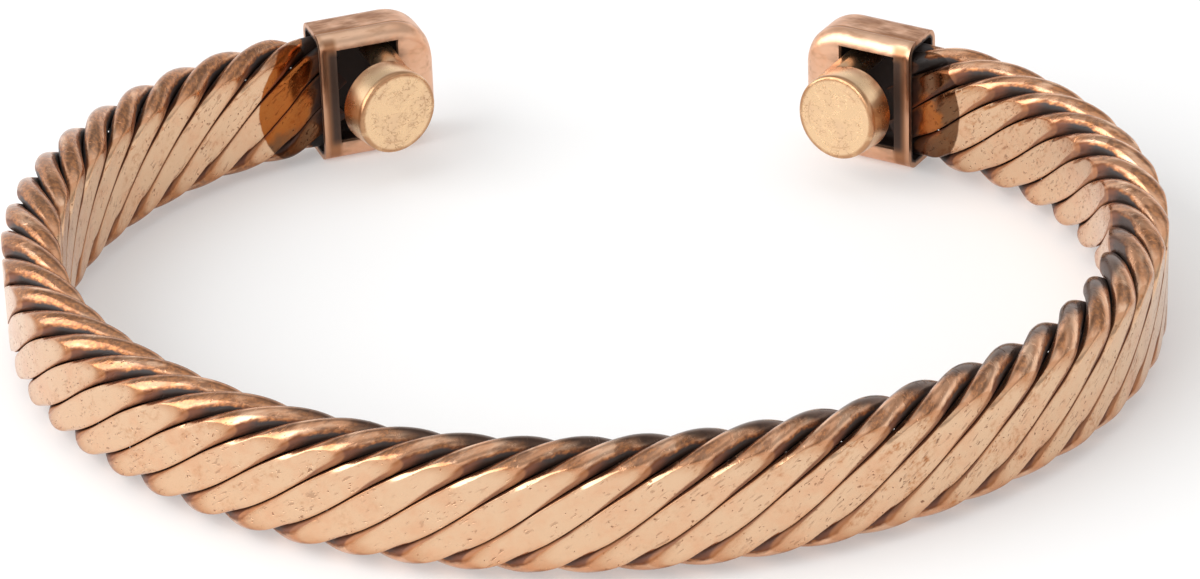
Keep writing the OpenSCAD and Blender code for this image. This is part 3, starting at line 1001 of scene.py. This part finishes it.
def magnet_material(finish):
    """Pale gold coloured plating with a worn rim and scratches on the face; the disc's side is browned as a
    painted reflection of the dark cap, and the neck further back as painted shade.
    """
    shader = Shader("pale_plating")
    place = shader.kept("disc")
    across, level, up = place.parts()
    radius = (across * across + up * up).maths("SQRT")
    cloud = place.noise(0.9, 4.0, 0.6)

    rim = radius.ramp(2.2, 2.38) * level.ramp(-0.42, -0.2) * 0.8
    # Painted reflection of the dark cap on the disc's side.
    side = level.within(-2.6, -2.1, -1.7, -0.75) * 0.8
    # Painted shade on the neck further back, deep in the cap.
    brown = rim.larger(side).larger(level.ramp(-4.2, -5.6) * 0.9)
    shown = (cloud.ramp(0.45, 0.7) * 0.45).blend(finish.plating, finish.flat_copper)
    shown = (brown * cloud.ramp(0.2, 0.55)).blend(shown, finish.wear_and_shade_brown)

    lines = abs(place.stretch((1.0, 1.0, 1.7)).noise(1.3, 3.0, 0.7) - 0.5)
    lines = (1.0 - lines.ramp(0.004, 0.018)) * place.noise(0.8, 2.0).ramp(0.42, 0.56)
    ring = abs(radius - 1.85).ramp(0.07, 0.02) * cloud.ramp(0.45, 0.6) * 0.5
    marks = lines.larger(ring) * level.ramp(-0.03, -0.005)
    relief = place.noise(3.5, 3.0, 0.6).bump(0.012 * MM, 0.5)
    return shader.surfaced({"Base Color": (marks * 0.65).blend(shown, finish.wear_and_shade_brown),
                            "Metallic": 1.0,
                            "Roughness": cloud * 0.2 + 0.18,
                            "Normal": marks.bump(-0.02 * MM, 0.7, relief)})


# Operators

def settings():
    """The cuff's settings in the open scene."""
    return bpy.context.scene.cuff


class CUFF_OT_strands(bpy.types.Operator):
    """Build the eight rolled strands of the band"""

    bl_idname = "cuff.strands"
    bl_label = "Build strands"

    def execute(self, context):
        cuff = settings()
        line = Centreline(cuff.band, cuff.cap)
        form = StrandForm(cuff.band, cuff.strand, line)
        material = StrandShader(cuff.finish, line).build()
        face = cuff.band.depth / 2
        widest = cuff.strand.crease + cuff.strand.fall_off + cuff.strand.tip_rounding
        offsets = np.linspace(cuff.strand.crease, widest, 3)
        levels = [face] + [face + side * offset for offset in offsets for side in (-1, 1)]
        for number in range(1, STRAND_COUNT + 1):
            mesh = form.mesh(number)
            cut_at_faces(mesh, levels)
            finish_strand(mesh, cuff.band, cuff.strand, line)
            smooth(mesh, 60.0)
            piece = new_object("copper_strand_%d" % number, mesh, material)
            own(piece, "strand_%d" % number)
        return {"FINISHED"}


def stand_in_mouth(mesh, name, cuff):
    """Stands a mesh in the left or the right mouth and shades it."""
    mesh.transform(Centreline(cuff.band, cuff.cap).mouth_matrix(SIDES[name]))
    if SIDES[name] < 0:
        mesh.flip_normals()
    mesh.materials.clear()
    smooth(mesh, 35.0)


class CUFF_OT_caps(bpy.types.Operator):
    """Build the two hollow end caps"""

    bl_idname = "cuff.caps"
    bl_label = "Build end caps"

    def execute(self, context):
        cuff = settings()
        material = cap_material(cuff.finish)
        for name in SIDES:
            neck = getattr(cuff.magnet, name + "_neck")
            mesh = build_cap(cuff.cap, neck + cuff.magnet.neck_radius + cuff.magnet.seat_gap)
            mesh.name = "copper_cap_" + name
            stand_in_mouth(mesh, name, cuff)
            own(new_object("copper_cap_" + name, mesh, material), "cap_" + name)
        return {"FINISHED"}


class CUFF_OT_magnets(bpy.types.Operator):
    """Build the two stepped magnets"""

    bl_idname = "cuff.magnets"
    bl_label = "Build magnets"

    def execute(self, context):
        cuff = settings()
        material = magnet_material(cuff.finish)
        for name in SIDES:
            mesh = build_magnet(cuff.cap, cuff.magnet, name, "plated_magnet_" + name)
            stand_in_mouth(mesh, name, cuff)
            own(new_object("plated_magnet_" + name, mesh, material), "magnet_" + name)
        return {"FINISHED"}


def direction(turned, raised):
    """From the cuff outward: round from the front, and up from the floor."""
    level = math.cos(raised)
    return Vector((math.sin(turned) * level, -math.cos(turned) * level, math.sin(raised)))


class CUFF_OT_stage(bpy.types.Operator):
    """Set up the pale floor, the soft light and the camera"""

    bl_idname = "cuff.stage"
    bl_label = "Set up the stage"

    def execute(self, context):
        stage = settings().stage
        self.add_floor(stage)
        self.add_world(context.scene)
        self.add_light(context.scene, stage)
        self.add_camera(context.scene, stage)
        context.scene.view_settings.view_transform = "Standard"
        return {"FINISHED"}

    def add_floor(self, stage):
        """A wide white floor under the caps."""
        half = stage.floor_span / 2
        corners = [(-half, -half, 0), (half, -half, 0), (half, half, 0), (-half, half, 0)]
        mesh = bpy.data.meshes.new("floor")
        mesh.from_pydata(corners, [], [(0, 1, 2, 3)])
        white = stage.floor_white
        inputs = {"Base Color": (white, white, white, 1.0), "Roughness": 0.9,
                  "Emission Color": (1.0, 1.0, 1.0, 1.0), "Emission Strength": stage.floor_glow}
        new_object("floor", mesh, Shader("white_floor").surfaced(inputs))

    def add_world(self, scene):
        """Surroundings that are bright near the floor, darker above and lighter again overhead."""
        world = bpy.data.worlds.new("studio")
        world.use_nodes = True
        tree = world.node_tree
        back = tree.nodes["Background"]
        upward = add_node(tree, "ShaderNodeTexCoord", {}, "Generated").parts()[2]
        low_step, high_step = (upward.ramp(*step) for step in SKY_STEPS)
        feed(tree, back.inputs["Color"], (1.0, 1.0, 1.0, 1.0))
        feed(tree, back.inputs["Strength"], low_step + high_step)
        scene.world = world

    def add_light(self, scene, stage):
        """A soft box low at the left front."""
        light = bpy.data.lights.new("softbox", "AREA")
        light.shape = "RECTANGLE"
        light.size, light.size_y = stage.light_width, stage.light_height
        light.energy = stage.light_strength * math.pi * light.size * light.size_y
        lamp = bpy.data.objects.new("softbox", light)
        lamp.location = stage.light_distance * direction(stage.light_azimuth, stage.light_elevation)
        lamp.rotation_euler = (-lamp.location).to_track_quat("-Z", "Y").to_euler()
        scene.collection.objects.link(lamp)

    def add_camera(self, scene, stage):
        """The photo's angle: a little round from the front, and above."""
        back = direction(stage.azimuth, stage.elevation)
        right = Vector((math.cos(stage.azimuth), math.sin(stage.azimuth), 0.0))
        up = back.cross(right)
        level = right * math.cos(stage.roll) + up * math.sin(stage.roll)
        upright = up * math.cos(stage.roll) - right * math.sin(stage.roll)
        at = Vector(stage.target) + back * stage.distance
        rows = [(level[i], upright[i], back[i], at[i]) for i in range(3)]
        camera = bpy.data.cameras.new("camera")
        camera.lens = stage.lens
        camera.sensor_width = 36.0
        camera.clip_start = 0.01
        camera.clip_end = 20.0
        piece = bpy.data.objects.new("camera", camera)
        piece.matrix_world = Matrix((*rows, (0.0, 0.0, 0.0, 1.0)))
        scene.collection.objects.link(piece)
        scene.camera = piece


OPERATORS = (CUFF_OT_stage, CUFF_OT_strands, CUFF_OT_caps, CUFF_OT_magnets)


class CUFF_PT_sidebar(bpy.types.Panel):
    """Lists the cuff's pieces and their settings"""

    bl_idname = "CUFF_PT_sidebar"
    bl_label = "Copper cuff"
    bl_space_type = "VIEW_3D"
    bl_region_type = "UI"
    bl_category = "Cuff"

    def draw(self, context):
        for operator in OPERATORS:
            self.layout.operator(operator.bl_idname)
        for name, group in GROUPS.items():
            box = self.layout.box()
            box.label(text=name.capitalize())
            for key in group.__annotations__:
                box.prop(getattr(context.scene.cuff, name), key)


CLASSES = (*GROUPS.values(), CuffSettings, *OPERATORS, CUFF_PT_sidebar)


def register():
    """Makes the settings, the operators and the panel known to Blender."""
    for item in CLASSES:
        bpy.utils.register_class(item)
    bpy.types.Scene.cuff = PointerProperty(type=CuffSettings)


def unregister():
    """Takes them away again."""
    del bpy.types.Scene.cuff
    for item in reversed(CLASSES):
        bpy.utils.unregister_class(item)


def main():
    register()
    bpy.ops.cuff.stage()
    bpy.ops.cuff.strands()
    bpy.ops.cuff.caps()
    bpy.ops.cuff.magnets()


if __name__ == "__main__":
    main()
